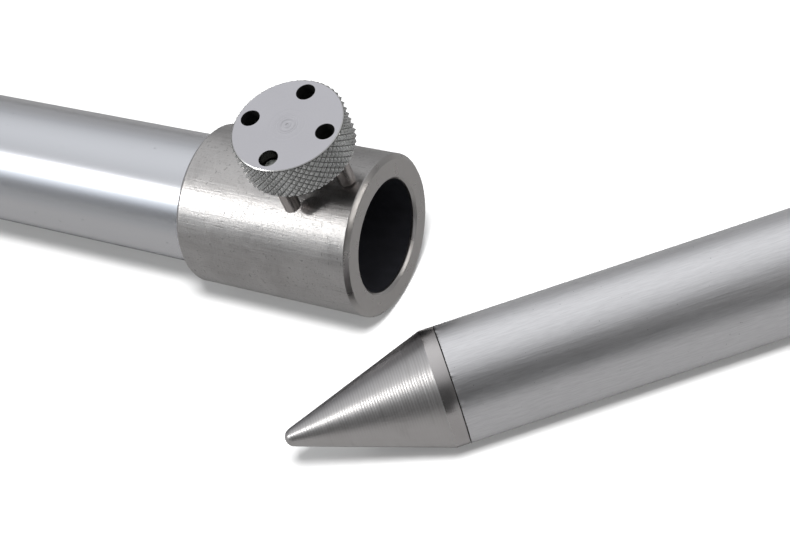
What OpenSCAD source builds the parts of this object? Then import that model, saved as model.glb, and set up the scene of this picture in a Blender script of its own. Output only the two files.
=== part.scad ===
// Bank stick in two telescoping sections, laid side by side on a flat surface.
// The upper section lies along X: a tube with a threaded head at one end and a clamping collar
// at the other. The lower section, a thinner tube with a ground spike, is drawn out of the
// collar and lies beside it at an angle.
// The origin is where the axis of the clamp screw crosses the axis of the collar's bore.
// X runs along the bore and out of the collar's mouth, and Z is up. Lengths are millimetres.

/* [Upper tube] */
// Outside diameter of the upper tube
upper_od = 19; // [18.6:0.1:20]
// Wall of the upper tube
upper_wall = 1.2; // [1:0.1:1.3]
// Length of the upper tube
upper_len = 270; // [200:5:700]

/* [Lower tube] */
// Outside diameter of the lower tube, which runs in the collar
lower_od = 16; // [15.2:0.1:16.2]
// Wall of the lower tube
lower_wall = 1.2; // [1:0.1:1.6]
// Length of the lower tube
lower_len = 260; // [150:5:650]

/* [Collar] */
// Outside diameter of the collar, and of the head that lies level with it
collar_od = 23.3; // [22.6:0.1:26]
// Length of the collar
collar_len = 28.1; // [24:0.1:40]
// Chamfer round both outer edges of the collar
collar_edge = 0.6; // [0.3:0.1:1]
// Chamfer round the mouth of the bore
mouth_edge = 0.4; // [0.3:0.1:0.6]
// Plain land between the mouth's chamfer and the liner
lip_land = 0.3; // [0.2:0.1:1]
// Gap all round between the lower tube and the bore
slide_gap = 0.1; // [0.08:0.01:0.2]
// Wall of the plastic liner in the bore
liner_wall = 0.8; // [0.7:0.1:0.9]
// Length of the liner
liner_len = 14.3; // [13:0.1:16]

/* [Clamp knob] */
// Distance from the collar's mouth back to the axis of the clamp screw
mouth_to_screw = 8.5; // [7:0.1:9]
// Lean of the clamp screw about the bore's axis as the section lies, in degrees
screw_lean = 7; // [0:0.5:20]
// Diameter over the tips of the knurl
knob_od = 16.3; // [15.6:0.1:20]
// Thickness of the knob
knob_thick = 5.5; // [4.4:0.1:8]
// Height of the knob's underside above the ridge of the collar
knob_stand = 5.15; // [4:0.05:7]
// Chamfer round the knob's two edges
knob_edge = 0.4; // [0.2:0.05:0.5]
// Number of teeth round the knurl
knurl_teeth = 48; // [36:2:60]
// Number of rows in the knurl
knurl_rows = 5; // [3:1:7]
// Depth of the knurl
knurl_depth = 0.4; // [0.2:0.05:0.5]

/* [Knob pins] */
// Number of pins pressed into the knob
pin_count = 4; // [4:1:4]
// Diameter of each pin
pin_d = 2.4; // [2:0.1:2.6]
// Radius of the circle that the pins stand on
pin_circle = 5.77; // [5:0.01:6]
// Diameter of the open hole over each pin
pin_hole_d = 2.7; // [2.7:0.05:3.2]
// Depth from the knob's face down to the tops of pins 1 to 3
pin_sunk = 3.4; // [2.8:0.1:3.6]
// Depth from the knob's face down to the top of pin 4, which stands highest
pin_4_sunk = 1.6; // [1:0.1:2.5]
// Chamfer round both ends of each pin
pin_edge = 0.2; // [0.1:0.05:0.4]
// Gap that is left under the pins' tips when the clamp is tight
tip_gap = 0.05; // [0.03:0.01:0.2]

/* [Clamp screw] */
// Thread diameter of the clamp screw
screw_d = 5; // [4:0.5:5.5]
// Thread pitch of the clamp screw
screw_pitch = 0.8; // [0.7:0.05:1]
// Turns in from the drawn position until the clamp is tight
turns_in = 0.25; // [0.1:0.05:0.5]
// Gap all round between the screw and its tapped hole
thread_gap = 0.05; // [0.03:0.01:0.08]
// Depth of the screw's seat in the knob
screw_seat = 3.4; // [2.5:0.1:3.8]
// Gap from the drawn clamp pad to the wall of the bore
pad_clear = 0.05; // [0.02:0.01:0.1]
// Thickness of the clamp pad
pad_thick = 0.85; // [0.7:0.05:1.2]
// Diameter of the pad's stem, which snaps into the end of the screw
stem_d = 1.8; // [1.4:0.1:2]
// Length of the pad's stem
stem_len = 1.2; // [0.8:0.1:1.6]

/* [Head] */
// Length of the head outside the tube
head_len = 22; // [18:0.5:40]
// Length of the head's spigot inside the tube
spigot_len = 18; // [14:0.5:30]
// Bore of the threaded insert, the tapping size of a 3/8 inch thread of 20 to the inch
thread_bore = 8.2; // [8:0.1:8.6]
// Bore of the head behind the threaded insert
relief_d = 7; // [6:0.1:7.8]
// Length of the threaded insert
insert_len = 16; // [12:0.5:17]
// Outside diameter of the threaded insert
insert_od = 13; // [11.5:0.1:15]
// Diameter of the spring pin that holds the head in the tube
cross_pin_d = 2.5; // [2:0.1:3]
// Thickness of the rubber buffer on the end of the spigot
buffer_thick = 3; // [2:0.5:6]

/* [Ground spike] */
// Length of the cylindrical land behind the cone
spike_land = 1.9; // [1:0.1:6]
// Length of the cone with its rounded tip
cone_len = 20.9; // [14:0.1:60]
// Radius of the rounded tip
tip_r = 1.3; // [0.6:0.1:2.5]
// Length of the spike's spigot in the tube
spike_spigot = 18; // [14:0.5:30]
// Gap of the joint line between the spike's shoulder and the tube
joint_gap = 0.12; // [0.05:0.01:0.3]
// Thickness of the sealing ring on the spigot
ring_d = 1.2; // [1:0.1:1.6]
// Length of the end plug's spigot in the tube
plug_spigot = 14; // [8:0.5:20]
// Length of the end plug's head
plug_head = 3; // [2:0.5:6]

/* [Lie of the lower section] */
// Place along X of the joint between the spike and its tube
joint_x = 26.4; // [20:0.1:60]
// Place along Y of the joint between the spike and its tube
joint_y = -19.25; // [-40:0.05:-19]
// Angle from X of the lower section, in degrees
lower_angle = 39.75; // [25:0.25:60]

/* [Hidden] */

// Round parts have many sides
$fn = 96;
// Gap all round in a bonded or pressed fit, and at butted ends
bond_gap = 0.02;
// Extra length of a cutter past the face that it cuts
past = 1;

// Radii
upper_r = upper_od / 2;
upper_bore_r = upper_r - upper_wall;
lower_r = lower_od / 2;
lower_bore_r = lower_r - lower_wall;
collar_r = collar_od / 2;
bore_r = lower_r + slide_gap;
liner_r = bore_r + liner_wall;
screw_r = screw_d / 2;
tapped_r = screw_r + thread_gap;
pin_r = pin_d / 2;

// Places along X, measured from the clamp screw
mouth_x = mouth_to_screw;
liner_front = mouth_x - mouth_edge - lip_land;
liner_back = liner_front - liner_len;
collar_back = mouth_x - collar_len;
tube_front = liner_back - bond_gap;
tube_back = tube_front - upper_len;
head_back = tube_back - bond_gap - head_len;
spigot_end = tube_back + spigot_len;

// Heights above the bore's axis, measured along the clamp screw
knob_under = collar_r + knob_stand;
knob_top = knob_under + knob_thick;
pin_tops = [for (i = [1 : pin_count]) knob_top - (i < 4 ? pin_sunk : pin_4_sunk)];
pin_tip = collar_r + tip_gap + turns_in * screw_pitch;
pad_face = bore_r + pad_clear;
pad_back = pad_face + pad_thick;
screw_nose = pad_back + thread_gap;
screw_top = knob_under + screw_seat - bond_gap;
// The screw's nose is drilled for the pad's stem
nose_hole_r = stem_d / 2 + thread_gap;
nose_hole_top = pad_back + stem_len + thread_gap;
// The pad slides in a hole through the liner
pad_r = screw_r - thread_gap;
pad_hole_r = pad_r + 3 * thread_gap;

// Height of the lower section's axis when both sections lie on one surface
lower_axis_z = lower_r - collar_r;
// Place of the sealing ring, along the spike's spigot from the joint
ring_x = spike_spigot * 2 / 3;

// Edge breaks on the small parts
small_edge = 0.3;
hole_edge = 0.15;

// Shared shapes

// A solid of revolution about X, from points given as [place along X, radius]
module turned(points) {
    rotate([90, 0, 90]) rotate_extrude() polygon([for (p = points) [p[1], p[0]]]);
}

// A round bar along X from x0 to x1 with a chamfer at each end
module bar(x0, x1, r, e0 = 0, e1 = 0) {
    turned([[x0, 0], [x0, r - e0], [x0 + e0, r], [x1 - e1, r], [x1, r - e1], [x1, 0]]);
}

// A plain cutter along X from x0 to x1
module drill(x0, x1, r) {
    translate([x0, 0, 0]) rotate([0, 90, 0]) cylinder(h = x1 - x0, r = r);
}

// A conical cutter along X, for a chamfer
module sink(x0, r0, x1, r1) {
    translate([x0, 0, 0]) rotate([0, 90, 0]) cylinder(h = x1 - x0, r1 = r0, r2 = r1);
}

// Puts a part that is modelled along Z onto the axis of the clamp screw
module on_screw() {
    rotate([screw_lean, 0, 0]) children();
}

// Puts a part that is modelled along X, with the joint at zero, on the lower section's axis
module on_lower() {
    translate([joint_x, joint_y, lower_axis_z]) rotate([0, 0, lower_angle]) children();
}

// Places one child on each pin's axis, counted from the pin nearest to the mouth
module at_pin(index) {
    rotate([0, 0, index * 360 / pin_count]) translate([pin_circle, 0, 0]) children();
}

// Upper section

module outer_tube() {
    pin_x = tube_back + spigot_len / 2;
    color([0.78, 0.80, 0.84]) difference() {
        bar(tube_back, tube_front, upper_r, small_edge, small_edge);
        drill(tube_back - past, tube_front + past, upper_bore_r);
        translate([pin_x, 0, 0]) rotate([90, 0, 0])
            cylinder(h = upper_od + 2 * past, r = cross_pin_d / 2, center = true);
    }
}

module collar() {
    mouth_r = bore_r + mouth_edge;
    color([0.72, 0.71, 0.69]) difference() {
        bar(collar_back, mouth_x, collar_r, collar_edge, collar_edge);
        drill(collar_back - past, liner_back, upper_r + bond_gap);
        drill(liner_back - past, liner_front, liner_r + bond_gap);
        drill(liner_front - past, mouth_x + past, bore_r);
        sink(mouth_x - mouth_edge, bore_r, mouth_x + past, mouth_r + past);
        on_screw() cylinder(h = collar_r + past, r = tapped_r);
        on_screw() translate([0, 0, collar_r - small_edge])
            cylinder(h = small_edge + past, r1 = tapped_r, r2 = tapped_r + small_edge + past);
    }
}

module bore_liner() {
    color([0.04, 0.04, 0.05]) difference() {
        drill(liner_back, liner_front - bond_gap, liner_r);
        drill(liner_back - past, liner_front + past, bore_r);
        on_screw() cylinder(h = collar_r, r = pad_hole_r);
    }
}

module head_boss() {
    spigot_r = upper_bore_r - bond_gap;
    pin_x = tube_back + spigot_len / 2;
    stem_r = buffer_thick / 2;
    front = tube_back - bond_gap;
    color([0.73, 0.73, 0.74]) difference() {
        union() {
            bar(head_back, front, collar_r, collar_edge, collar_edge);
            bar(front - past, spigot_end, spigot_r, 0, small_edge);
        }
        drill(head_back - past, head_back + insert_len, insert_od / 2 + bond_gap);
        drill(head_back, front - small_edge, relief_d / 2);
        drill(spigot_end - spigot_len / 4, spigot_end + past, stem_r + bond_gap);
        translate([pin_x, 0, 0]) rotate([90, 0, 0])
            cylinder(h = upper_od + 2 * past, r = cross_pin_d / 2, center = true);
    }
}

module head_insert() {
    lead = small_edge * 2;
    color([0.75, 0.60, 0.32]) difference() {
        bar(head_back, head_back + insert_len - bond_gap, insert_od / 2, 0, small_edge);
        drill(head_back - past, head_back + insert_len + past, thread_bore / 2);
        sink(head_back - past, thread_bore / 2 + lead + past, head_back + lead, thread_bore / 2);
    }
}

// A rolled spring pin, slit along one side, flush with the tube
module head_pin() {
    pin_x = tube_back + spigot_len / 2;
    len = upper_od - 2 * small_edge;
    r = cross_pin_d / 2 - bond_gap;
    slit = cross_pin_d / 6;
    color([0.62, 0.62, 0.63]) translate([pin_x, 0, 0]) rotate([90, 0, 0]) difference() {
        cylinder(h = len, r = r, center = true);
        cylinder(h = len + past, r = r / 2, center = true);
        translate([0, -slit / 2, -len]) cube([cross_pin_d, slit, 2 * len]);
    }
}

module head_buffer() {
    face = spigot_end + bond_gap;
    stem_r = buffer_thick / 2;
    color([0.07, 0.07, 0.07]) union() {
        bar(face, face + buffer_thick, upper_bore_r - slide_gap, 0, small_edge);
        drill(face - spigot_len / 4 + 2 * bond_gap, face + small_edge, stem_r);
    }
}

// Clamp

module knob() {
    r = knob_od / 2;
    valley = r - knurl_depth;
    row = knob_thick / knurl_rows;
    step = 360 / knurl_teeth;
    color([0.72, 0.72, 0.74]) on_screw() difference() {
        intersection() {
            // Teeth round the rim
            translate([0, 0, knob_under]) linear_extrude(height = knob_thick)
                polygon([for (i = [0 : knurl_teeth - 1], half = [0, 1])
                    let (a = (i + half / 2) * step, d = half == 0 ? r : valley)
                    [d * cos(a), d * sin(a)]]);
            // Rows up the rim, cut back to a chamfer at both edges
            translate([0, 0, knob_under]) rotate_extrude() polygon(concat(
                [[0, 0], [r - knob_edge, 0]],
                [for (k = [0 : knurl_rows - 1], half = [0, 1])
                    let (z = (k + 0.5 + half / 2) * row)
                    if (z < knob_thick - knob_edge) [half == 0 ? r : valley, z]],
                [[r - knob_edge, knob_thick], [0, knob_thick]]));
        }
        translate([0, 0, knob_under - past]) cylinder(h = screw_seat + past, r = screw_r + bond_gap);
        for (i = [0 : pin_count - 1]) at_pin(i) {
            translate([0, 0, knob_under - past]) cylinder(h = knob_thick, r = pin_r + bond_gap);
            translate([0, 0, pin_tops[i]]) cylinder(h = knob_top - pin_tops[i] + past, r = pin_hole_d / 2);
            translate([0, 0, knob_top - hole_edge]) cylinder(h = hole_edge + past,
                r1 = pin_hole_d / 2, r2 = pin_hole_d / 2 + hole_edge + past);
        }
    }
}

// One pin, flat at both ends
module knob_pin(index) {
    color([0.60, 0.58, 0.56]) on_screw() at_pin(index - 1) rotate([0, -90, 0])
        bar(pin_tip, pin_tops[index - 1], pin_r, pin_edge, pin_edge);
}

module clamp_screw() {
    color([0.58, 0.58, 0.58]) on_screw() difference() {
        translate([0, 0, screw_nose]) cylinder(h = screw_top - screw_nose, r = screw_r);
        translate([0, 0, screw_nose - past])
            cylinder(h = nose_hole_top - screw_nose + past, r = nose_hole_r);
    }
}

module clamp_pad() {
    color([0.90, 0.89, 0.84]) on_screw() union() {
        translate([0, 0, pad_face]) cylinder(h = pad_thick, r = pad_r);
        translate([0, 0, pad_back - bond_gap]) cylinder(h = stem_len + bond_gap, r = stem_d / 2);
    }
}

// Lower section

module inner_tube() {
    color([0.74, 0.74, 0.75]) on_lower() difference() {
        drill(joint_gap, lower_len, lower_r);
        drill(-past, lower_len + past, lower_bore_r);
    }
}

// Cone with a rounded tip that meets it without a corner, a short land, and a spigot
module ground_spike() {
    tip_x = -(spike_land + cone_len);
    ball_x = tip_x + tip_r;
    // Half angle of the cone through the edge of the land and tangent to the ball
    reach = sqrt(pow(lower_r, 2) + pow(cone_len - tip_r, 2));
    half = atan2(lower_r, cone_len - tip_r) - asin(tip_r / reach);
    arc = [for (i = [0 : 8]) let (a = i * (90 - half) / 8) [ball_x - tip_r * cos(a), tip_r * sin(a)]];
    spigot_r = lower_bore_r - bond_gap;
    groove_r = lower_bore_r - ring_d;
    groove_half = ring_d * 0.6;
    color([0.70, 0.69, 0.68]) on_lower() turned(concat(arc, [
        [-spike_land, lower_r], [0, lower_r], [0, spigot_r],
        [ring_x - groove_half, spigot_r], [ring_x - groove_half, groove_r],
        [ring_x + groove_half, groove_r], [ring_x + groove_half, spigot_r],
        [spike_spigot - small_edge, spigot_r], [spike_spigot, spigot_r - small_edge],
        [spike_spigot, 0]]));
}

module spike_ring() {
    mid_r = lower_bore_r - ring_d / 2;
    color([0.06, 0.06, 0.06]) on_lower() translate([ring_x, 0, 0]) rotate([0, 90, 0])
        rotate_extrude() translate([mid_r, 0]) circle(r = ring_d / 2 - bond_gap, $fn = 32);
}

module top_plug() {
    start = lower_len - plug_spigot;
    shoulder = lower_len + bond_gap;
    end = shoulder + plug_head;
    spigot_r = lower_bore_r - bond_gap;
    edge = 2 * small_edge;
    color([0.05, 0.05, 0.05]) on_lower() turned([
        [start, 0], [start, spigot_r - small_edge], [start + small_edge, spigot_r],
        [shoulder, spigot_r], [shoulder, lower_r], [end - edge, lower_r], [end, lower_r - edge],
        [end, 0]]);
}

outer_tube();
collar();
bore_liner();
head_boss();
head_insert();
head_pin();
head_buffer();
knob();
knob_pin(1);  // knob_pin_1
knob_pin(2);  // knob_pin_2
knob_pin(3);  // knob_pin_3
knob_pin(4);  // knob_pin_4
clamp_screw();
clamp_pad();
inner_tube();
ground_spike();
spike_ring();
top_plug();
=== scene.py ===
import math

import bmesh
import bpy
from mathutils import Matrix, Vector, noise


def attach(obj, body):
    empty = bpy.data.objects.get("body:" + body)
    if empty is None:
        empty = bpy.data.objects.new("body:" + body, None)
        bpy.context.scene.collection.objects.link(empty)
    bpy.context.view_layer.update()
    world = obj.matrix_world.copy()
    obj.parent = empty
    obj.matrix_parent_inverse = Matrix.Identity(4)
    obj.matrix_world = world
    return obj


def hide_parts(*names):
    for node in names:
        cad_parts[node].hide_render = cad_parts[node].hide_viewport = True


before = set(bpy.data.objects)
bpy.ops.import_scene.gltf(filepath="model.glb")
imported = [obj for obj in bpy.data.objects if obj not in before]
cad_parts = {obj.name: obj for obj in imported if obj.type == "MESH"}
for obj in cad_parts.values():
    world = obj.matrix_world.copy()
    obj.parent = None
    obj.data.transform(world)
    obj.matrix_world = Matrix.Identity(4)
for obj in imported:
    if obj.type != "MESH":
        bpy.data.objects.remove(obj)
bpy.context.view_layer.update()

# Lengths below are in millimetres, and each piece is modelled about its own axis before it is
# put in place. The origin is where the clamp screw's axis crosses the axis of the collar's bore.
MM = 0.001
SIDES, PIN_SIDES, DRILL_SIDES, BUSH_SIDES = 240, 64, 48, 96

# Pieces that touch are kept this far apart, and edges are rounded by these sizes
CLEARANCE = 0.02
FINE_EDGE, CRISP_EDGE, BACK_EDGE = 0.06, 0.08, 0.1

# How close two points have to be to be welded, to be welded in a thread, to count as on a ring
# and to count as level
WELD, THREAD_WELD, ON_RING, LEVEL = 1e-5, 1e-4, 2e-4, 1e-3

# Upper section, along X
TUBE_R = 9.5
TUBE_BORE_R, TUBE_EDGE = 8.3, 0.3
TUBE_BACK, TUBE_FRONT = -276.52, -6.52
COLLAR_R = 11.65
COLLAR_BACK, MOUTH = -19.6, 8.5
COLLAR_EDGE = 0.6
TURNED_FROM = MOUTH - COLLAR_EDGE + 0.03
SCREW_HOLE_R, SINK_R, SINK_DEPTH, SINK_RISE = 2.55, 3.85, 0.3, 1.0
DRILL_START = 5.0
BORE_R = 8.1
LINER_R = 8.9
LINER_BACK, LINER_FRONT = -6.5, 7.8
MOUTH_EDGE = 0.4
HEAD_BACK, HEAD_FRONT, SPIGOT_END = -298.54, -276.54, -258.52
HEAD_HOLLOW_R, HEAD_HOLLOW_END = 3.5, HEAD_FRONT - 0.3
INSERT_R, INSERT_LEN = 6.5, 15.98
INSERT_MINOR, INSERT_MAJOR, INSERT_PITCH = 4.1, 4.72, 1.27
CROSS_PIN_X, CROSS_PIN_R, CROSS_DRILL = -267.52, 1.25, 12.0

# Clamp, along its own axis, which leans
LEAN = math.radians(7)
KNOB_R, KNOB_VALLEY, KNOB_FACE_R = 8.11, 7.78, 7.66
CHAMFER_SLOPE = 1.4
KNOB_UNDER, KNOB_TOP = 16.8, 22.3
TEETH, ROWS, KNURL_CELLS = 48, 5, 96
KNURL_FLANK = 0.345
BRIGHT_RIM = 0.27
CHAMFER_CUTS = (BRIGHT_RIM, 0.63, 1.0)
PIN_R, PIN_CIRCLE, PIN_TIP = 1.2, 5.77, 11.9
PIN_TOPS = (18.9, 18.9, 18.9, 20.7)
PIN_TIP_EDGE, PIN_TOP_EDGE, PIN_END = 0.22, 0.15, 0.01
PIN_HOLE_R, PIN_HOLE_EDGE, PIN_HOLE_DROP, PIN_HOLE_SPARE = 1.35, 0.05, 0.06, 0.25
# Holes whose walls are painted near black, as painted shade
DARK_WALLED_HOLES = (0, 1, 2)
SCREW_R, SCREW_CORE_R, SCREW_PITCH = 2.48, 2.02, 0.8
SCREW_NOSE, SCREW_TOP = 9.05, 20.58

# Lower section, along its own axis from the joint between spike and tube
LOWER_ANGLE = math.radians(39.75)
JOINT = (26.4, -19.25, -3.65)
LOWER_R, LOWER_BORE_R, SAWN_EDGE = 8.0, 6.8, 0.05
JOINT_GAP, LOWER_LEN = 0.12, 260.0
RAG_RINGS = (0.45, 1.0, 6.0)
RAG_ZONE, RAG_DEPTH, RAG_TURNS, RAG_SEED = 0.3, 0.2, 22, 3.1
BURR_FROM, BURR_HEIGHT, RAG_REACH = 0.12, 0.25, 0.12
LAND, CONE, TIP_R, TIP_STEPS = 1.9, 20.9, 1.3, 10
SPIGOT_R, SPIKE_SPIGOT = LOWER_BORE_R - CLEARANCE, 18.0
PLUG_SPIGOT, PLUG_HEAD, PLUG_EDGE = 14.0, 3.0, 0.6
# The faces inside the gap at the joint take a dark finish
JOINT_DARK_FROM, JOINT_DARK_TO = -0.02, JOINT_GAP + 0.012

FLOOR_Z = -COLLAR_R
FLOOR_REACH = 3.0

UPPER = Matrix.Identity(4)
CLAMP = Matrix.Rotation(LEAN, 4, "X")
LOWER = Matrix.Translation(JOINT) @ Matrix.Rotation(LOWER_ANGLE, 4, "Z")
UPRIGHT = Matrix.Rotation(-math.pi / 2, 4, "Y")
ACROSS = Matrix.Translation((CROSS_PIN_X, 0, 0)) @ Matrix.Rotation(math.pi / 2, 4, "Z")

# The UV map: how much of the radius runs on along the surface, and how much a millimetre counts
RADIAL_SHARE, UV_PER_MM = 0.37, 0.02


# Shaping

def turned(points, closed=False, steps=SIDES):
    """A surface of revolution about X from points given as (place along X, radius)."""
    bm = bmesh.new()
    verts = [bm.verts.new((x, 0, r)) for x, r in points]
    edges = [bm.edges.new(pair) for pair in zip(verts, verts[1:])]
    if closed:
        edges.append(bm.edges.new((verts[-1], verts[0])))
    bmesh.ops.spin(bm, geom=verts + edges, cent=(0, 0, 0), axis=(1, 0, 0), angle=2 * math.pi,
                   steps=steps, use_merge=True)
    bmesh.ops.remove_doubles(bm, verts=bm.verts, dist=WELD)
    bmesh.ops.recalc_face_normals(bm, faces=bm.faces)
    return bm


def ring_edges(bm, x, r):
    """The edges of the circle at place x and radius r round the X axis."""
    def on_ring(v):
        return abs(v.co.x - x) < ON_RING and abs(math.hypot(v.co.y, v.co.z) - r) < ON_RING
    return [e for e in bm.edges if on_ring(e.verts[0]) and on_ring(e.verts[1])]


def ease(bm, corners, segments=3):
    """Rounds circular corners, given as (place along X, radius, size of the rounding)."""
    for x, r, size in corners:
        edges = ring_edges(bm, x, r)
        bmesh.ops.bevel(bm, geom=edges, offset=size, segments=segments, profile=0.5,
                        affect="EDGES", material=-1, clamp_overlap=True)


def threaded(core_r, crest_r, pitch, start, end):
    """The helical surface of a vee thread along X, cut flat at both ends and left open."""
    bm = bmesh.new()
    flat = pitch / 8
    slope = (pitch - 2 * flat) / 2
    verts, x = [], start - pitch
    while x < end + pitch:
        for shift, r in ((0, core_r), (flat, core_r), (flat + slope, crest_r),
                         (2 * flat + slope, crest_r)):
            verts.append(bm.verts.new((x + shift, 0, r)))
        x += pitch
    edges = [bm.edges.new(pair) for pair in zip(verts, verts[1:])]
    bmesh.ops.spin(bm, geom=verts + edges, cent=(0, 0, 0), axis=(1, 0, 0), angle=2 * math.pi,
                   steps=PIN_SIDES, dvec=(pitch / PIN_SIDES, 0, 0))
    bmesh.ops.remove_doubles(bm, verts=bm.verts, dist=THREAD_WELD)
    cut(bm, (start, 0, 0), (-1, 0, 0), clear=True)
    cut(bm, (end, 0, 0), (1, 0, 0), clear=True)
    return bm


def cut(bm, place, normal, clear=False):
    """Cuts along a plane, and clears what lies on the side that the normal points to if asked."""
    bmesh.ops.bisect_plane(bm, geom=bm.verts[:] + bm.edges[:] + bm.faces[:], dist=WELD,
                           plane_co=place, plane_no=normal, clear_outer=clear)


def close_ends(bm, *places):
    """Fills the openings that lie in the planes at the given places along X."""
    for x in places:
        rim = [e for e in bm.edges if e.is_boundary and all(abs(v.co.x - x) < LEVEL for v in e.verts)]
        bmesh.ops.triangle_fill(bm, edges=rim, use_beauty=True, normal=(1, 0, 0))


def carved(bm, *cutters):
    """A copy of bm with the cutters taken out of it."""
    base = as_object("blank", bm)
    tools = [as_object("cutter", cutter) for cutter in cutters]
    for tool in tools:
        difference = base.modifiers.new("cut", "BOOLEAN")
        difference.operation = "DIFFERENCE"
        difference.solver = "EXACT"
        difference.object = tool
    graph = bpy.context.evaluated_depsgraph_get()
    result = bmesh.new()
    result.from_object(base, graph)
    for ob in [base] + tools:
        mesh = ob.data
        bpy.data.objects.remove(ob)
        bpy.data.meshes.remove(mesh)
    return result


def as_object(name, bm):
    mesh = bpy.data.meshes.new(name)
    bm.to_mesh(mesh)
    bm.free()
    ob = bpy.data.objects.new(name, mesh)
    bpy.context.scene.collection.objects.link(ob)
    return ob


def dress_faces(bm, index, low=-math.inf, high=math.inf):
    """Gives the faces that lie between two places along X another finish from the piece's list."""
    for face in bm.faces:
        if low < face.calc_center_median().x < high:
            face.material_index = index


def new_faces(made):
    """The faces among what an operation has made."""
    return [g for g in made["geom"] if isinstance(g, bmesh.types.BMFace)]


def wrap(bm, axis="X"):
    """Lays the UV map round the axis: u is the angle and v runs along the surface."""
    layer = bm.loops.layers.uv.new("wrap")
    for face in bm.faces:
        turns = []
        for loop in face.loops:
            x, y, z = loop.vert.co
            along, a, b = (x, y, z) if axis == "X" else (z, x, y)
            r = math.hypot(a, b)
            turn = math.atan2(a, b) / (2 * math.pi) if r > 1e-4 else None
            turns.append((turn, along + RADIAL_SHARE * r))
        known = [turn for turn, _ in turns if turn is not None]
        if max(known) - min(known) > 0.5:
            known = [turn + 1 if turn < 0 else turn for turn in known]
        middle = sum(known) / len(known)
        for loop, (turn, along) in zip(face.loops, turns):
            if turn is None:
                turn = middle
            elif turn < middle - 0.5:
                turn += 1
            loop[layer].uv = (turn, along * UV_PER_MM)


def piece(name, bm, place, body, finishes, nodes, axis="X", sharp=35):
    """Puts a shaped piece in its place and lets it ride on its body, instead of the CAD's nodes."""
    bmesh.ops.recalc_face_normals(bm, faces=bm.faces)
    wrap(bm, axis)
    limit = math.radians(sharp)
    for edge in bm.edges:
        edge.smooth = edge.is_boundary or edge.calc_face_angle(0) < limit
    for face in bm.faces:
        face.smooth = True
    bm.transform(Matrix.Scale(MM, 4) @ place)
    ob = as_object(name, bm)
    for finish in finishes:
        ob.data.materials.append(finish)
    steady = ob.modifiers.new("normals", "WEIGHTED_NORMAL")
    steady.weight = 100
    steady.keep_sharp = True
    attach(ob, body)
    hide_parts(*nodes)


# Finishes

def add_node(tree, kind, inputs=None, **settings):
    """A node with its settings, whose inputs are linked to sockets or set to plain values."""
    made = tree.nodes.new(kind)
    for name, value in settings.items():
        setattr(made, name, value)
    for socket, value in (inputs or {}).items():
        if isinstance(value, bpy.types.NodeSocket):
            tree.links.new(value, made.inputs[socket])
        else:
            made.inputs[socket].default_value = value
    return made


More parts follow.
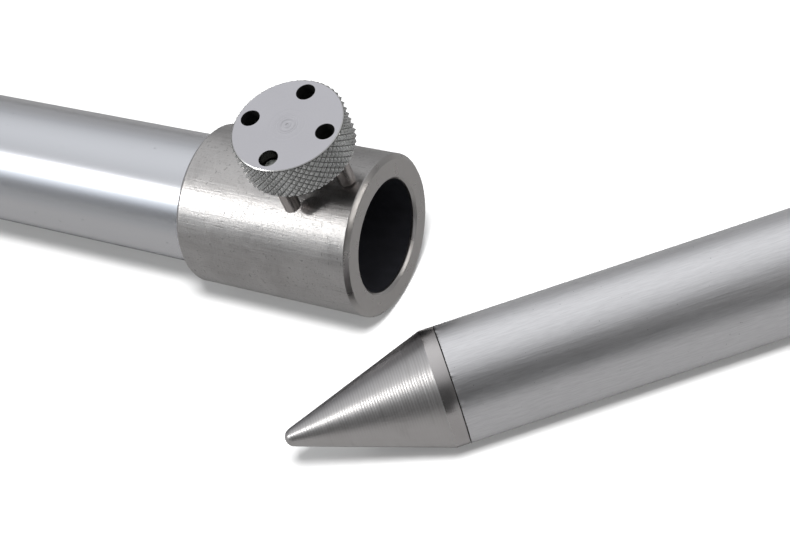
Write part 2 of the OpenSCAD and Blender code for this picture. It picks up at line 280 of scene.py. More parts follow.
class Finish:
    """A material whose patterns are laid out in millimetres about a piece's own axis.

    The colour and roughness that it starts with hold where no pattern is put in their place.
    """

    def __init__(self, name, place, colour, metallic=1.0, roughness=0.3):
        self.material = bpy.data.materials.new(name)
        self.material.use_nodes = True
        self.tree = self.material.node_tree
        self.shader = self.tree.nodes["Principled BSDF"]
        self.set("Base Color", (*colour, 1))
        self.set("Metallic", metallic)
        self.set("Roughness", roughness)
        coords = self.node("ShaderNodeTexCoord")
        turn = self.node("ShaderNodeMapping", {
            "Vector": coords.outputs["Object"],
            "Location": place.translation * MM,
            "Rotation": place.to_euler(),
            "Scale": (MM, MM, MM),
        }, vector_type="TEXTURE")
        self.place = turn.outputs["Vector"]

    def set(self, socket, value):
        self.shader.inputs[socket].default_value = value

    def node(self, kind, inputs=None, **settings):
        return add_node(self.tree, kind, inputs, **settings)

    def link(self, source, target):
        self.tree.links.new(source, target)

    def stretched(self, x, y, z):
        """The place, with each direction stretched by its own factor."""
        return self.node("ShaderNodeMapping", {"Vector": self.place, "Scale": (x, y, z)}).outputs["Vector"]

    def noise(self, where, detail=2.0, roughness=0.5, distortion=0.0):
        return self.node("ShaderNodeTexNoise", {
            "Vector": where,
            "Scale": 1.0,
            "Detail": detail,
            "Roughness": roughness,
            "Distortion": distortion,
        }).outputs["Fac"]

    def level(self, value, low, high, out_low=0.0, out_high=1.0):
        """Brings values from low to high into the range from out_low to out_high."""
        return self.node("ShaderNodeMapRange", {
            "Value": value,
            "From Min": low,
            "From Max": high,
            "To Min": out_low,
            "To Max": out_high,
        }).outputs["Result"]

    def maths(self, operation, a, b):
        return self.node("ShaderNodeMath", {0: a, 1: b}, operation=operation).outputs["Value"]

    def plus(self, a, b):
        return self.maths("ADD", a, b)

    def minus(self, a, b):
        return self.maths("SUBTRACT", a, b)

    def times(self, a, b):
        return self.maths("MULTIPLY", a, b)

    def larger(self, a, b):
        return self.maths("MAXIMUM", a, b)

    def blend(self, factor, a, b):
        """Colour a where the factor is 0 and colour b where it is 1."""
        a, b = (c if isinstance(c, bpy.types.NodeSocket) else (*c, 1) for c in (a, b))
        return self.node("ShaderNodeMix", {0: factor, 6: a, 7: b}, data_type="RGBA").outputs[2]

    def colour(self, value):
        self.link(value, self.shader.inputs["Base Color"])

    def rough(self, value):
        self.link(value, self.shader.inputs["Roughness"])

    def relief(self, height, distance):
        """Bumps, where a height of 1 stands for the given distance in millimetres."""
        bump = self.node("ShaderNodeBump", {"Strength": 1.0, "Distance": distance * MM, "Height": height})
        self.link(bump.outputs["Normal"], self.shader.inputs["Normal"])

    def grain(self, anisotropy, rotation=0.0):
        """Brushed gloss that follows the wrapped UV map."""
        tangent = self.node("ShaderNodeTangent", direction_type="UV_MAP", uv_map="wrap")
        self.link(tangent.outputs["Tangent"], self.shader.inputs["Tangent"])
        self.set("Anisotropic", anisotropy)
        self.set("Anisotropic Rotation", rotation)

    def facing(self, x, y, z):
        """How far the place lies to the side of the X axis that a direction points to."""
        made = self.node("ShaderNodeVectorMath", {0: self.place, 1: (x, y, z)}, operation="DOT_PRODUCT")
        return self.maths("DIVIDE", made.outputs["Value"], self.radius())

    def radius(self, axis="X"):
        """Distance from the piece's axis in millimetres."""
        flat = self.stretched(*((0, 1, 1) if axis == "X" else (1, 1, 0)))
        return self.node("ShaderNodeVectorMath", {0: flat}, operation="LENGTH").outputs["Value"]

    def alone(self, value, scale):
        """A vector that holds one value, for a pattern that depends on it alone."""
        return self.node("ShaderNodeCombineXYZ", {"X": self.times(value, scale)}).outputs["Vector"]


def anodised_tube():
    f = Finish("anodised_tube", UPPER, (0.77, 0.79, 0.84), roughness=0.23)
    drift = f.noise(f.stretched(0.02, 0.12, 0.12), detail=3)
    fine = f.noise(f.stretched(0.05, 5.0, 5.0), detail=2)
    specks = f.level(f.noise(f.stretched(1.1, 1.4, 1.4), detail=1), 0.76, 0.80)
    tone = f.blend(drift, (0.74, 0.747, 0.785), (0.80, 0.807, 0.845))
    # The side facing -Y and the top edge towards the back are painted paler: painted light, for the bright
    # floor and backdrop that they mirror
    front, behind = f.facing(0.0, -1.0, -0.05), f.facing(0.0, 0.5, 0.87)
    painted_light_bands = f.plus(f.level(front, 0.925, 0.985), f.level(behind, 0.93, 0.99))
    tone = f.blend(f.times(painted_light_bands, 0.75), tone, (0.98, 0.97, 0.99))
    f.colour(f.blend(f.times(specks, 0.5), tone, (0.36, 0.36, 0.38)))
    f.rough(f.level(f.plus(drift, f.times(fine, 0.4)), 0.3, 1.1, 0.24, 0.28))
    f.relief(fine, 0.0006)
    return f.material


def machined_collar():
    f = Finish("machined_collar", UPPER, (0.68, 0.67, 0.65), roughness=0.3)
    drawn = f.noise(f.stretched(0.10, 4.6, 4.6), detail=5, roughness=0.65)
    fine = f.noise(f.stretched(3.2, 5.5, 5.5), detail=4, roughness=0.7)
    cross = f.noise(f.stretched(5.0, 0.45, 0.45), detail=3, distortion=0.4)
    blotch = f.noise(f.stretched(0.16, 0.22, 0.22), detail=4, roughness=0.6, distortion=0.6)
    scratch = f.level(f.noise(f.stretched(0.22, 2.6, 2.6), detail=3, roughness=0.55, distortion=0.35),
                      0.655, 0.70)
    pits = f.level(f.noise(f.stretched(1.9, 3.4, 3.4), detail=2), 0.66, 0.71)
    nicks = f.level(f.noise(f.stretched(4.2, 1.5, 1.5), detail=2, distortion=0.5), 0.67, 0.71)
    tone = f.blend(f.level(blotch, 0.3, 0.7), (0.46, 0.44, 0.432), (0.61, 0.587, 0.577))
    tone = f.blend(f.level(drawn, 0.35, 0.7, 0.0, 0.5), tone, (0.66, 0.65, 0.65))
    tone = f.blend(f.level(cross, 0.52, 0.66, 0.0, 0.22), tone, (0.70, 0.69, 0.685))
    tone = f.blend(f.level(fine, 0.36, 0.50, 0.20, 0.0), tone, (0.30, 0.29, 0.29))
    dark = f.larger(f.times(scratch, 0.25), f.times(pits, 0.42))
    dark = f.larger(dark, f.times(nicks, 0.52))
    f.colour(f.blend(dark, tone, (0.16, 0.155, 0.15)))
    f.rough(f.level(f.plus(drawn, blotch), 0.7, 1.3, 0.28, 0.42))
    height = f.plus(f.times(drawn, 0.75), f.times(fine, 0.5))
    height = f.plus(height, f.times(cross, 0.2))
    f.relief(f.minus(height, f.times(dark, 0.6)), 0.028)
    f.grain(0.35)
    return f.material


def deburred_edge(name, dark, light):
    f = Finish(name, UPPER, light, roughness=0.3)
    drift = f.noise(f.stretched(0.6, 0.6, 0.6), detail=3)
    f.colour(f.blend(drift, dark, light))
    f.rough(f.level(drift, 0.3, 0.7, 0.26, 0.36))
    f.relief(f.noise(f.stretched(5.0, 2.0, 2.0), detail=2), 0.005)
    return f.material


def black_bush():
    f = Finish("black_bush", UPPER, (0.012, 0.012, 0.015), metallic=0.0, roughness=0.38)
    drift = f.noise(f.stretched(0.3, 0.5, 0.5), detail=3)
    f.colour(f.blend(drift, (0.040, 0.040, 0.046), (0.075, 0.076, 0.094)))
    f.rough(f.level(drift, 0.3, 0.7, 0.34, 0.46))
    f.relief(f.noise(f.stretched(6.0, 0.3, 0.3), detail=2), 0.002)
    return f.material


def knob_finish():
    f = Finish("knob_finish", CLAMP, (0.66, 0.66, 0.68), roughness=0.42)
    r = f.radius("Z")
    waves = f.noise(f.alone(r, 2.3), detail=2)
    fade = f.level(r, 0.9, 3.0, 1.0, 0.08)
    pip = f.level(r, 0.10, 0.30, 1.0, 0.0)
    rings = f.times(f.minus(waves, 0.5), fade)
    drift = f.noise(f.stretched(0.25, 0.25, 0.25), detail=3)
    fine = f.noise(f.stretched(7.0, 7.0, 7.0), detail=3)
    tone = f.blend(drift, (0.645, 0.63, 0.665), (0.71, 0.69, 0.73))
    tone = f.blend(f.level(fine, 0.3, 0.7, 0.0, 0.25), tone, (0.56, 0.555, 0.58))
    f.colour(f.blend(f.level(rings, -0.2, 0.2, 0.0, 0.5), tone, (0.78, 0.78, 0.81)))
    f.rough(f.level(drift, 0.3, 0.7, 0.38, 0.46))
    height = f.plus(f.times(rings, 2.2), f.times(fine, 0.12))
    f.relief(f.plus(height, f.times(pip, 0.8)), 0.09)
    return f.material


def knurl_finish():
    f = Finish("knurl_finish", CLAMP, (0.56, 0.56, 0.55), roughness=0.3)
    drift = f.noise(f.stretched(0.6, 0.6, 0.6), detail=3)
    fine = f.noise(f.stretched(5.0, 5.0, 2.0), detail=3)
    # Below the valley radius, in the knurl's grooves and the fourth hole's wall, the colour is painted
    # near black: painted shade
    groove_shade = f.level(f.radius("Z"), KNOB_VALLEY, KNOB_VALLEY + 0.09)
    tone = f.blend(drift, (0.80, 0.80, 0.79), (0.95, 0.95, 0.94))
    f.colour(f.blend(groove_shade, (0.09, 0.087, 0.082), tone))
    f.rough(f.level(fine, 0.3, 0.7, 0.24, 0.34))
    f.relief(fine, 0.010)
    return f.material


# A near-black finish for the knob's underside and its holes: painted shade, where the knob hangs over the
# collar and the holes sink in
def shade_black_finish():
    f = Finish("shade_black", CLAMP, (0.03, 0.03, 0.03), metallic=0.4, roughness=0.5)
    drift = f.noise(f.stretched(1.0, 1.0, 1.0), detail=3)
    f.colour(f.blend(drift, (0.02, 0.02, 0.02), (0.05, 0.05, 0.048)))
    f.relief(f.noise(f.stretched(3.0, 3.0, 8.0), detail=2), 0.01)
    return f.material


def steel_pin(name, place):
    f = Finish(name, place, (0.42, 0.40, 0.38), roughness=0.26)
    ground = f.noise(f.stretched(6.0, 0.5, 0.5), detail=3)
    drift = f.noise(f.stretched(0.4, 0.4, 0.4), detail=2)
    f.colour(f.blend(drift, (0.50, 0.455, 0.435), (0.60, 0.555, 0.535)))
    f.rough(f.level(ground, 0.3, 0.7, 0.16, 0.22))
    f.relief(ground, 0.0005)
    return f.material


def cropped_end():
    f = Finish("cropped_end", CLAMP, (0.60, 0.62, 0.58), roughness=0.6)
    drift = f.noise(f.stretched(1.5, 1.5, 1.5), detail=3)
    f.colour(f.blend(f.level(drift, 0.35, 0.65), (0.52, 0.55, 0.50), (0.86, 0.88, 0.84)))
    f.rough(f.level(drift, 0.3, 0.7, 0.55, 0.75))
    f.relief(drift, 0.12)
    return f.material


def screw_steel():
    f = Finish("screw_steel", CLAMP @ UPRIGHT, (0.45, 0.45, 0.45), roughness=0.3)
    drift = f.noise(f.stretched(0.5, 0.5, 0.5), detail=3)
    f.colour(f.blend(drift, (0.36, 0.36, 0.36), (0.50, 0.50, 0.50)))
    f.rough(f.level(drift, 0.3, 0.7, 0.24, 0.38))
    f.relief(f.noise(f.stretched(4.0, 1.0, 1.0), detail=2), 0.003)
    return f.material


def head_aluminium():
    f = Finish("head_aluminium", UPPER, (0.72, 0.72, 0.73), roughness=0.28)
    lines = f.noise(f.stretched(5.5, 0.15, 0.15), detail=3)
    face = f.noise(f.alone(f.radius(), 5.0), detail=3)
    drift = f.noise(f.stretched(0.2, 0.3, 0.3), detail=3)
    f.colour(f.blend(drift, (0.68, 0.68, 0.69), (0.76, 0.76, 0.77)))
    f.rough(f.level(lines, 0.3, 0.7, 0.23, 0.33))
    f.relief(f.plus(lines, face), 0.004)
    f.grain(0.4, 0.25)
    return f.material


def brass_insert():
    f = Finish("brass_insert", UPPER, (0.75, 0.58, 0.28), roughness=0.25)
    face = f.noise(f.alone(f.radius(), 6.0), detail=3)
    drift = f.noise(f.stretched(0.4, 0.4, 0.4), detail=3)
    f.colour(f.blend(drift, (0.66, 0.50, 0.24), (0.80, 0.64, 0.34)))
    f.rough(f.level(drift, 0.3, 0.7, 0.20, 0.32))
    f.relief(face, 0.004)
    return f.material


def brushed_tube():
    f = Finish("brushed_tube", LOWER, (0.72, 0.72, 0.73), roughness=0.3)
    brush = f.noise(f.stretched(0.08, 4.0, 4.0), detail=4, roughness=0.65)
    fine = f.noise(f.stretched(0.5, 7.0, 7.0), detail=3, roughness=0.6)
    drift = f.noise(f.stretched(0.04, 0.12, 0.12), detail=3)
    specks = f.level(f.noise(f.stretched(2.6, 3.0, 3.0), detail=1), 0.765, 0.80)
    tone = f.blend(drift, (0.865, 0.855, 0.87), (0.925, 0.915, 0.93))
    tone = f.blend(f.level(brush, 0.40, 0.62, 0.0, 0.55), tone, (0.98, 0.97, 0.99))
    tone = f.blend(f.level(fine, 0.42, 0.62, 0.0, 0.20), tone, (0.55, 0.54, 0.56))
    f.colour(f.blend(f.times(specks, 0.5), tone, (0.30, 0.30, 0.31)))
    f.rough(f.level(f.plus(brush, drift), 0.7, 1.3, 0.31, 0.39))
    f.relief(f.plus(f.times(brush, 0.6), f.times(fine, 0.4)), 0.030)
    return f.material


def turned_spike():
    f = Finish("turned_spike", LOWER, (0.69, 0.68, 0.67), roughness=0.30)
    tool = f.node("ShaderNodeTexWave", {
        "Vector": f.stretched(0.85, 0.01, 0.01),
        "Scale": 1.0,
        "Distortion": 1.6,
        "Detail": 2.0,
        "Detail Scale": 2.0,
    }, wave_type="BANDS", bands_direction="X", wave_profile="TRI")
    fine = f.noise(f.stretched(3.3, 0.02, 0.02), detail=2)
    lines = f.plus(f.times(tool.outputs["Fac"], 0.4), f.times(fine, 0.6))
    broad = f.noise(f.stretched(1.3, 0.01, 0.01), detail=2)
    drift = f.noise(f.stretched(0.35, 0.2, 0.2), detail=3, distortion=0.5)
    smear = f.noise(f.stretched(1.2, 0.25, 0.25), detail=3)
    turn = f.facing(0.0, 0.84, 0.54)
    # The tool lines' colour and bumps fade out towards the lower side
    line_fade = f.level(turn, -0.72, -0.25, 0.12, 1.0)
    tone = f.blend(drift, (0.67, 0.64, 0.632), (0.75, 0.728, 0.72))
    light = f.times(f.level(lines, 0.45, 0.62, 0.0, 0.45), line_fade)
    tone = f.blend(light, tone, (0.80, 0.79, 0.79))
    dark = f.times(f.level(lines, 0.30, 0.50, 0.15, 0.0), line_fade)
    tone = f.blend(dark, tone, (0.30, 0.29, 0.29))
    tone = f.blend(f.level(smear, 0.55, 0.75, 0.0, 0.3), tone, (0.52, 0.50, 0.485))
    # The side facing up and back is painted darker: a painted dark reflection of the collar and its bore
    f.colour(f.blend(f.level(turn, 0.12, 1.0, 0.0, 0.98), tone, (0.27, 0.262, 0.275)))
    rubbed = f.level(turn, -0.6, 0.1, 0.11, 0.015)
    f.rough(f.plus(f.level(f.plus(lines, broad), 0.7, 1.3, 0.29, 0.36), rubbed))
    f.relief(f.times(lines, line_fade), 0.022)
    f.grain(0.5, 0.25)
    return f.material


def spike_land():
    f = Finish("spike_land", LOWER, (0.66, 0.64, 0.63), roughness=0.24)
    lines = f.noise(f.stretched(4.2, 0.02, 0.02), detail=2)
    drift = f.noise(f.stretched(0.5, 0.3, 0.3), detail=3)
    f.colour(f.blend(drift, (0.62, 0.59, 0.585), (0.72, 0.69, 0.685)))
    f.rough(f.level(drift, 0.3, 0.7, 0.20, 0.27))
    f.relief(lines, 0.006)
    return f.material


def plain_plastic(name, place, dark, light, roughness, bump=0.01):
    f = Finish(name, place, light, metallic=0.0, roughness=roughness)
    drift = f.noise(f.stretched(0.5, 0.5, 0.5), detail=3)
    f.colour(f.blend(drift, dark, light))
    f.rough(f.level(drift, 0.3, 0.7, roughness - 0.06, roughness + 0.06))
    f.relief(f.noise(f.stretched(6.0, 6.0, 6.0), detail=2), bump)
    return f.material


anodised = anodised_tube()
collar_metal = machined_collar()
turned_mouth = deburred_edge("turned_mouth", (0.57, 0.545, 0.53), (0.66, 0.635, 0.62))
knob_edge = deburred_edge("knob_edge", (0.82, 0.81, 0.80), (0.94, 0.93, 0.92))
bush = black_bush()
knob_face = knob_finish()
knurl_metal = knurl_finish()
shade_black = shade_black_finish()
cross_pin_steel = steel_pin("cross_pin_steel", ACROSS)
pin_end_steel = cropped_end()
screw_metal = screw_steel()
nylon = plain_plastic("nylon_pad", CLAMP, (0.80, 0.79, 0.74), (0.88, 0.87, 0.83), 0.45)
head_metal = head_aluminium()
brass = brass_insert()
rubber = plain_plastic("rubber_black", UPPER, (0.025, 0.025, 0.025), (0.05, 0.05, 0.05), 0.75, 0.02)
brushed = brushed_tube()
spike_metal = turned_spike()
land_metal = spike_land()
joint_dark = plain_plastic("joint_dark", LOWER, (0.02, 0.02, 0.02), (0.05, 0.048, 0.045), 0.6)
plug_plastic = plain_plastic("black_plug", LOWER, (0.02, 0.02, 0.02), (0.035, 0.035, 0.036), 0.5)


# Upper section

tube = turned([(TUBE_BACK, TUBE_BORE_R), (TUBE_BACK, TUBE_R), (TUBE_FRONT, TUBE_R),
               (TUBE_FRONT, TUBE_BORE_R)], closed=True)
ease(tube, [(TUBE_BACK, TUBE_R, TUBE_EDGE), (TUBE_FRONT, TUBE_R, TUBE_EDGE)])
pin_drill = turned([(-CROSS_DRILL, 0), (-CROSS_DRILL, CROSS_PIN_R), (CROSS_DRILL, CROSS_PIN_R),
                    (CROSS_DRILL, 0)], steps=DRILL_SIDES)
pin_drill.transform(ACROSS)
piece("upper_tube", carved(tube, pin_drill), UPPER, "upper_section", [anodised],
      ["outer_tube"])

collar = turned([
    (COLLAR_BACK, TUBE_R + CLEARANCE), (COLLAR_BACK, COLLAR_R - COLLAR_EDGE),
    (COLLAR_BACK + COLLAR_EDGE, COLLAR_R), (MOUTH - COLLAR_EDGE, COLLAR_R),
    (MOUTH, COLLAR_R - COLLAR_EDGE), (MOUTH, BORE_R + MOUTH_EDGE), (MOUTH - MOUTH_EDGE, BORE_R),
    (LINER_FRONT, BORE_R), (LINER_FRONT, LINER_R + CLEARANCE), (LINER_BACK, LINER_R + CLEARANCE),
    (LINER_BACK, TUBE_R + CLEARANCE)], closed=True)
ease(collar, [(COLLAR_BACK, COLLAR_R - COLLAR_EDGE, CRISP_EDGE),
              (COLLAR_BACK + COLLAR_EDGE, COLLAR_R, BACK_EDGE),
              (MOUTH - COLLAR_EDGE, COLLAR_R, CRISP_EDGE), (MOUTH, COLLAR_R - COLLAR_EDGE, CRISP_EDGE),
              (MOUTH, BORE_R + MOUTH_EDGE, FINE_EDGE), (MOUTH - MOUTH_EDGE, BORE_R, FINE_EDGE)])
screw_drill = turned([(DRILL_START, 0), (DRILL_START, SCREW_HOLE_R),
                      (COLLAR_R - SINK_DEPTH, SCREW_HOLE_R), (COLLAR_R + SINK_RISE, SINK_R),
                      (COLLAR_R + SINK_RISE, 0)], steps=BUSH_SIDES)
screw_drill.transform(CLAMP @ UPRIGHT)
collar = carved(collar, screw_drill)
dress_faces(collar, 1, low=TURNED_FROM)
piece("clamp_collar", collar, UPPER, "upper_section", [collar_metal, turned_mouth],
      ["collar"])

head = turned([
    (HEAD_HOLLOW_END, 0), (HEAD_HOLLOW_END, HEAD_HOLLOW_R),
    (HEAD_BACK + INSERT_LEN + CLEARANCE, HEAD_HOLLOW_R),
    (HEAD_BACK + INSERT_LEN + CLEARANCE, INSERT_R + CLEARANCE), (HEAD_BACK, INSERT_R + CLEARANCE),
    (HEAD_BACK, COLLAR_R - COLLAR_EDGE), (HEAD_BACK + COLLAR_EDGE, COLLAR_R),
    (HEAD_FRONT - COLLAR_EDGE, COLLAR_R), (HEAD_FRONT, COLLAR_R - COLLAR_EDGE),
    (HEAD_FRONT, TUBE_BORE_R - CLEARANCE), (SPIGOT_END, TUBE_BORE_R - CLEARANCE), (SPIGOT_END, 0)])
ease(head, [(HEAD_BACK, COLLAR_R - COLLAR_EDGE, CRISP_EDGE),
            (HEAD_BACK + COLLAR_EDGE, COLLAR_R, BACK_EDGE),
            (HEAD_FRONT - COLLAR_EDGE, COLLAR_R, BACK_EDGE),
            (HEAD_FRONT, COLLAR_R - COLLAR_EDGE, CRISP_EDGE)])
piece("head", head, UPPER, "upper_section", [head_metal], ["head_boss"])

insert = threaded(INSERT_MINOR, INSERT_MAJOR, INSERT_PITCH, HEAD_BACK, HEAD_BACK + INSERT_LEN)
shell = turned([(HEAD_BACK, INSERT_R), (HEAD_BACK + INSERT_LEN, INSERT_R)], steps=BUSH_SIDES)
shell_mesh = bpy.data.meshes.new("shell")
shell.to_mesh(shell_mesh)
shell.free()
insert.from_mesh(shell_mesh)
bpy.data.meshes.remove(shell_mesh)
close_ends(insert, HEAD_BACK, HEAD_BACK + INSERT_LEN)
piece("thread_insert", insert, UPPER, "upper_section", [brass], ["head_insert"])


# Clamp

# The places of the knob's finishes in its list of materials; the third is the near-black painted shade
FACE, KNURL, PAINTED_SHADE, RIM = range(4)


def knob_shape():
    """The knob along Z: a diamond knurl round the rim, and four open holes in the face."""
    bm = bmesh.new()
    tall = KNOB_TOP - KNOB_UNDER
    around = 2 * math.pi * KNOB_R
    tooth, row = around / TEETH, tall / ROWS
    bmesh.ops.create_grid(bm, x_segments=KNURL_CELLS, y_segments=KNURL_CELLS, size=KNURL_CELLS / 2)
    bmesh.ops.rotate(bm, verts=bm.verts, cent=(0, 0, 0), matrix=Matrix.Rotation(math.pi / 4, 3, "Z"))
    bmesh.ops.scale(bm, verts=bm.verts, vec=(tooth / math.sqrt(2), row / math.sqrt(2), 1))
    bmesh.ops.translate(bm, verts=bm.verts, vec=(around / 2 + tooth / 4, tall / 2, 0))
    outside = [f for f in bm.faces
               if not (-tooth < f.calc_center_median().x < around + tooth
                       and -row < f.calc_center_median().y < tall + row)]
    bmesh.ops.delete(bm, geom=outside, context="FACES")
    diamonds = bm.faces[:]
    bmesh.ops.inset_individual(bm, faces=diamonds, thickness=KNURL_FLANK, depth=0,
                               use_even_offset=True)
    for face in diamonds:
        for v in face.verts:
            v.co.z = KNOB_R - KNOB_VALLEY
    for place, normal in (((0, 0, 0), (-1, 0, 0)), ((around, 0, 0), (1, 0, 0)),
                          ((0, 0, 0), (0, -1, 0)), ((0, tall, 0), (0, 1, 0))):
        cut(bm, place, normal, clear=True)
    chamfer = (KNOB_R - KNOB_FACE_R) / CHAMFER_SLOPE
    for share in CHAMFER_CUTS:
        for y in (chamfer * share, tall - chamfer * share):
            cut(bm, (0, y, 0), (0, 1, 0))
    for v in bm.verts:
        s, y, h = v.co
        r = min(KNOB_VALLEY + h, KNOB_FACE_R + CHAMFER_SLOPE * min(y, tall - y))
        a = s / KNOB_R
        v.co = (r * math.cos(a), r * math.sin(a), KNOB_UNDER + y)
    bmesh.ops.remove_doubles(bm, verts=bm.verts, dist=ON_RING)
    for face in bm.faces:
        in_rim = face.calc_center_median().z > KNOB_TOP - chamfer * BRIGHT_RIM
        face.material_index = RIM if in_rim else KNURL
    for level in (KNOB_UNDER, KNOB_TOP):
        rim = [e for e in bm.edges if e.is_boundary and all(abs(v.co.z - level) < LEVEL for v in e.verts)]
        if level == KNOB_TOP:
            for index, top in enumerate(PIN_TOPS):
                rim += pin_hole(bm, index, top)
        # The underside gets the near-black painted shade, the face its own finish
        made = bmesh.ops.triangle_fill(bm, edges=rim, use_beauty=True, normal=(0, 0, 1))
        for face in new_faces(made):
            face.material_index = PAINTED_SHADE if level == KNOB_UNDER else FACE
    return bm


def pin_hole(bm, index, top):
    """One hole with its broken edge, wall and floor. Returns the edges round its mouth."""
    angle = index * math.pi / 2
    centre = Matrix.Translation((PIN_CIRCLE * math.cos(angle), PIN_CIRCLE * math.sin(angle), KNOB_TOP))
    made = bmesh.ops.create_circle(bm, segments=PIN_SIDES, radius=PIN_HOLE_R, matrix=centre)
    mouth = list({e for v in made["verts"] for e in v.link_edges})
    edges = mouth
    r = PIN_HOLE_R - PIN_HOLE_EDGE
    for drop in (PIN_HOLE_DROP, KNOB_TOP - top + PIN_HOLE_SPARE):
        made = bmesh.ops.extrude_edge_only(bm, edges=edges)
        for face in new_faces(made):
            # Walls of the listed holes are painted near black as shade
            face.material_index = PAINTED_SHADE if index in DARK_WALLED_HOLES else KNURL
        edges = [g for g in made["geom"] if isinstance(g, bmesh.types.BMEdge)
                 and len(g.link_faces) == 1]
        for v in {v for e in edges for v in e.verts}:
            flat = v.co - centre.translation
            flat.z = 0
            v.co = centre.translation + flat.normalized() * r - Vector((0, 0, drop))
    # The hole's floor is painted near black as shade
    for face in bmesh.ops.edgeloop_fill(bm, edges=edges)["faces"]:
        face.material_index = PAINTED_SHADE
    return mouth


piece("clamp_knob_cap", knob_shape(), CLAMP, "clamp_knob",
      [knob_face, knurl_metal, shade_black, knob_edge], ["knob"], axis="Z", sharp=20)

for index, top in enumerate(PIN_TOPS):
    pin = turned([(PIN_TIP, 0), (PIN_TIP, PIN_R), (top, PIN_R), (top, 0)], steps=PIN_SIDES)
    ease(pin, [(PIN_TIP, PIN_R, PIN_TIP_EDGE), (top, PIN_R, PIN_TOP_EDGE)])
    dress_faces(pin, 1, low=top - PIN_END)
    stand = CLAMP @ Matrix.Rotation(index * math.pi / 2, 4, "Z") @ Matrix.Translation(
        (PIN_CIRCLE, 0, 0)) @ UPRIGHT
    name = "pin_%d" % (index + 1)
    piece(name, pin, stand, "clamp_knob", [steel_pin(name + "_steel", stand), pin_end_steel],
          ["knob_" + name])

screw = threaded(SCREW_CORE_R, SCREW_R, SCREW_PITCH, SCREW_NOSE, SCREW_TOP)
close_ends(screw, SCREW_NOSE, SCREW_TOP)
piece("clamp_stud", screw, CLAMP @ UPRIGHT, "clamp_knob", [screw_metal], ["clamp_screw"])


# Lower section

lower_tube = turned([(JOINT_GAP, LOWER_BORE_R), (JOINT_GAP, LOWER_R)]
                    + [(x, LOWER_R) for x in RAG_RINGS]
                    + [(LOWER_LEN, LOWER_R), (LOWER_LEN, LOWER_BORE_R)], closed=True)
ease(lower_tube, [(JOINT_GAP, LOWER_R, SAWN_EDGE), (LOWER_LEN, LOWER_R, BACK_EDGE)], segments=2)
# The tube's end is ragged where it was cut off
for v in lower_tube.verts:
    r = math.hypot(v.co.y, v.co.z)
    if v.co.x < RAG_ZONE and r > LOWER_R - RAG_DEPTH:
        angle = math.atan2(v.co.y, v.co.z)
        rag = noise.noise(Vector((RAG_TURNS * math.cos(angle), RAG_TURNS * math.sin(angle), RAG_SEED)))
        burr = max(0.0, rag - BURR_FROM) * BURR_HEIGHT
        v.co.y *= 1 + burr / r
        v.co.z *= 1 + burr / r
        v.co.x -= max(0.0, rag) * RAG_REACH
# The tube's end faces inside the joint's gap take the dark finish
dress_faces(lower_tube, 1, high=JOINT_DARK_TO)
piece("lower_tube", lower_tube, LOWER, "lower_section", [brushed, joint_dark],
      ["inner_tube"])


def spike_profile():
    """The spike from its rounded tip, over the cone and the land, to the spigot in the tube."""
    ball = -(LAND + CONE) + TIP_R
    reach = math.hypot(LOWER_R, CONE - TIP_R)
    half = math.atan2(LOWER_R, CONE - TIP_R) - math.asin(TIP_R / reach)
    turns = [i * (math.pi / 2 - half) / TIP_STEPS for i in range(TIP_STEPS + 1)]
    tip = [(ball - TIP_R * math.cos(turn), TIP_R * math.sin(turn)) for turn in turns]
    return tip + [(-LAND, LOWER_R), (0, LOWER_R), (0, SPIGOT_R), (SPIKE_SPIGOT, SPIGOT_R),
                  (SPIKE_SPIGOT, 0)]


spike = turned(spike_profile())
ease(spike, [(-LAND, LOWER_R, FINE_EDGE), (0, LOWER_R, FINE_EDGE)])
dress_faces(spike, 1, low=-LAND)
# The spike's shoulder and spigot inside the joint's gap take the dark finish
dress_faces(spike, 2, low=JOINT_DARK_FROM)
piece("spike", spike, LOWER, "lower_section", [spike_metal, land_metal, joint_dark],
      ["ground_spike", "spike_ring"], sharp=15)

plug = turned([(LOWER_LEN - PLUG_SPIGOT, 0), (LOWER_LEN - PLUG_SPIGOT, SPIGOT_R),
               (LOWER_LEN + CLEARANCE, SPIGOT_R), (LOWER_LEN + CLEARANCE, LOWER_R),
               (LOWER_LEN + PLUG_HEAD, LOWER_R), (LOWER_LEN + PLUG_HEAD, 0)])
ease(plug, [(LOWER_LEN + PLUG_HEAD, LOWER_R, PLUG_EDGE)], segments=5)
piece("end_plug", plug, LOWER, "lower_section", [plug_plastic], ["top_plug"])


# CAD pieces that keep their shape

def dress(node, finish):
    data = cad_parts[node].data
    data.materials.clear()
    data.materials.append(finish)


dress("bore_liner", bush)
dress("head_pin", cross_pin_steel)
dress("head_buffer", rubber)
dress("clamp_pad", nylon)


# Floor

floor_bm = bmesh.new()
bmesh.ops.create_grid(floor_bm, x_segments=1, y_segments=1, size=FLOOR_REACH)
bmesh.ops.translate(floor_bm, verts=floor_bm.verts, vec=(0, 0, FLOOR_Z * MM))
floor = as_object("floor", floor_bm)

# The camera sees a paler paper than the object is lit by, and what metal mirrors lies in between
PAPER_SEEN, PAPER_LIT_BY, PAPER_MIRRORED = 0.50, 0.108, 0.024
paper = bpy.data.materials.new("floor_paper")
paper.use_nodes = True
tree = paper.node_tree
tree.nodes.clear()
path = add_node(tree, "ShaderNodeLightPath").outputs
tone = add_node(tree, "ShaderNodeMapRange", {
    "Value": path["Is Camera Ray"],
    "To Min": PAPER_LIT_BY,
    "To Max": PAPER_SEEN,
}).outputs["Result"]
for ray in ("Is Glossy Ray", "Is Transmission Ray"):
    tone = add_node(tree, "ShaderNodeMath", {0: path[ray], 1: PAPER_MIRRORED, 2: tone},
                    operation="MULTIPLY_ADD").outputs["Value"]
matte = add_node(tree, "ShaderNodeBsdfDiffuse", {"Color": tone})

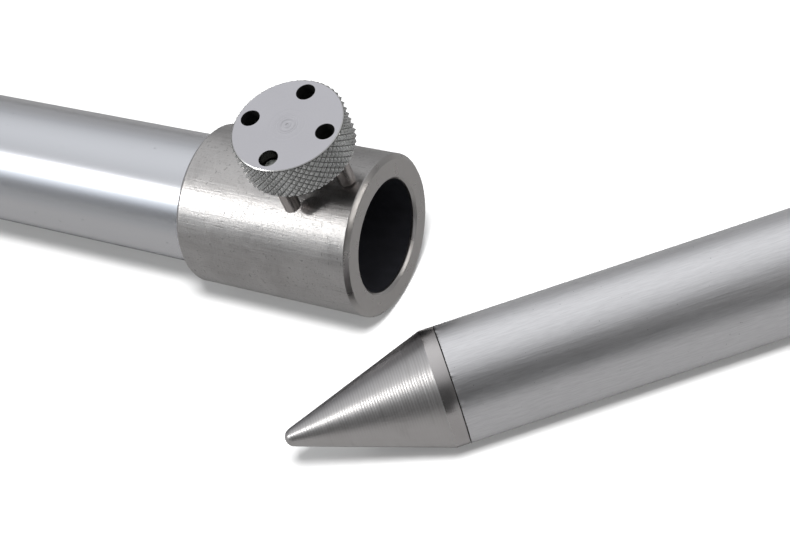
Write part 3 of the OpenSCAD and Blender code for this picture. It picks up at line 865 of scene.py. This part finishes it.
# Away from the object and its shadow the camera sees it evenly white, and near them a fifth so
WHITE_FROM, WHITE_TO, WHITE_NEAR = 0.36, 0.62, 0.20
place = add_node(tree, "ShaderNodeTexCoord")
reach = add_node(tree, "ShaderNodeVectorMath", {0: place.outputs["Object"]}, operation="LENGTH")
away = add_node(tree, "ShaderNodeMapRange", {
    "Value": reach.outputs["Value"],
    "From Min": WHITE_FROM,
    "From Max": WHITE_TO,
    "To Min": WHITE_NEAR,
}, interpolation_type="SMOOTHSTEP")
far = add_node(tree, "ShaderNodeMath", {0: away.outputs["Result"], 1: path["Is Camera Ray"]},
               operation="MULTIPLY")
plain = add_node(tree, "ShaderNodeEmission", {"Strength": 1.0})
surface = add_node(tree, "ShaderNodeMixShader", {
    "Fac": far.outputs["Value"],
    1: matte.outputs["BSDF"],
    2: plain.outputs["Emission"],
})
add_node(tree, "ShaderNodeOutputMaterial", {"Surface": surface.outputs["Shader"]})
floor.data.materials.append(paper)


# Light

def direction(azimuth, elevation):
    a, e = math.radians(azimuth), math.radians(elevation)
    return Vector((math.cos(e) * math.cos(a), math.cos(e) * math.sin(a), math.sin(e)))


def softbox(name, azimuth, elevation, distance, width, height, radiance, colour=(1, 1, 1)):
    """A panel that faces the clamp, with an even glow of the given radiance."""
    data = bpy.data.lights.new(name, "AREA")
    data.shape = "RECTANGLE"
    data.size, data.size_y = width, height
    data.energy = radiance * math.pi * width * height
    data.color = colour
    ob = bpy.data.objects.new(name, data)
    away = direction(azimuth, elevation)
    ob.location = away * distance
    ob.rotation_mode = "QUATERNION"
    ob.rotation_quaternion = away.to_track_quat("Z", "Y")
    bpy.context.scene.collection.objects.link(ob)
    return ob


softbox("key_panel", -137, 35, 1.0, 0.14, 0.12, 38.0, (1.0, 0.997, 0.975))
softbox("key_halo", -137, 27, 1.05, 0.55, 0.46, 0.75, (0.84, 0.92, 1.0))
# A panel beyond the mouth is what the mouth's edges and the pins mirror
softbox("mouth_panel", 7, 30, 1.0, 0.75, 0.26, 1.75, (1.0, 0.985, 0.96))

# A lamp for the floor alone, from above the camera, draws the soft shadow along the lower edges
floor_lamp = softbox("floor_lamp", -43, 67, 1.0, 0.25, 0.25, 122.0)
lit_by_it = bpy.data.collections.new("floor_only")
lit_by_it.objects.link(floor)
floor_lamp.light_linking.receiver_collection = lit_by_it

world = bpy.data.worlds.new("studio")
bpy.context.scene.world = world
world.use_nodes = True
sky = world.node_tree
sky.nodes.clear()
outward = add_node(sky, "ShaderNodeTexCoord").outputs["Generated"]


def toward(azimuth, elevation, low, high, out_low, out_high):
    """A smooth glow that goes from out_low to out_high as the sky turns to face a direction."""
    facing = add_node(sky, "ShaderNodeVectorMath", {0: outward, 1: direction(azimuth, elevation)},
                      operation="DOT_PRODUCT")
    return add_node(sky, "ShaderNodeMapRange", {
        "Value": facing.outputs["Value"],
        "From Min": low,
        "From Max": high,
        "To Min": out_low,
        "To Max": out_high,
    }, interpolation_type="SMOOTHSTEP").outputs["Result"]


# A dim sky that is darkest behind the camera, with a broad glow behind the object and a small one
# beside the camera. The camera itself sees white.
glow = toward(-38, 15, -0.5, 0.95, 0.325, 0.055)
for patch in (toward(130, 75, 0.45, 0.99, 0.0, 0.52), toward(-31, 2, 0.965, 0.995, 0.0, 0.3)):
    glow = add_node(sky, "ShaderNodeMath", {0: glow, 1: patch}, operation="ADD").outputs["Value"]
around = add_node(sky, "ShaderNodeBackground", {"Color": (0.97, 0.985, 1.0, 1), "Strength": glow})
white = add_node(sky, "ShaderNodeBackground", {"Color": (1, 1, 1, 1), "Strength": 1.0})
choose = add_node(sky, "ShaderNodeMixShader", {
    "Fac": add_node(sky, "ShaderNodeLightPath").outputs["Is Camera Ray"],
    1: around.outputs["Background"],
    2: white.outputs["Background"],
})
add_node(sky, "ShaderNodeOutputWorld", {"Surface": choose.outputs["Shader"]})


# Camera, at the photograph's place

SENSOR, FOCAL_PIXELS, FRAME_PIXELS = 36.0, 1797.0, 790.0
camera_data = bpy.data.cameras.new("camera")
camera_data.sensor_fit = "HORIZONTAL"
camera_data.sensor_width = SENSOR
camera_data.lens = SENSOR * FOCAL_PIXELS / FRAME_PIXELS
camera_data.clip_start, camera_data.clip_end = 0.01, 20.0
camera = bpy.data.objects.new("camera", camera_data)
right = Vector((0.87797, 0.42888, -0.21269))
up = Vector((-0.18892, 0.71863, 0.66924))
back = right.cross(up)
turn = Matrix((right, up, back)).transposed().to_4x4()
camera.matrix_world = Matrix.Translation((0.120413, -0.140342, 0.174784)) @ turn
bpy.context.scene.collection.objects.link(camera)
bpy.context.scene.camera = camera
bpy.context.scene.view_settings.view_transform = "Standard"
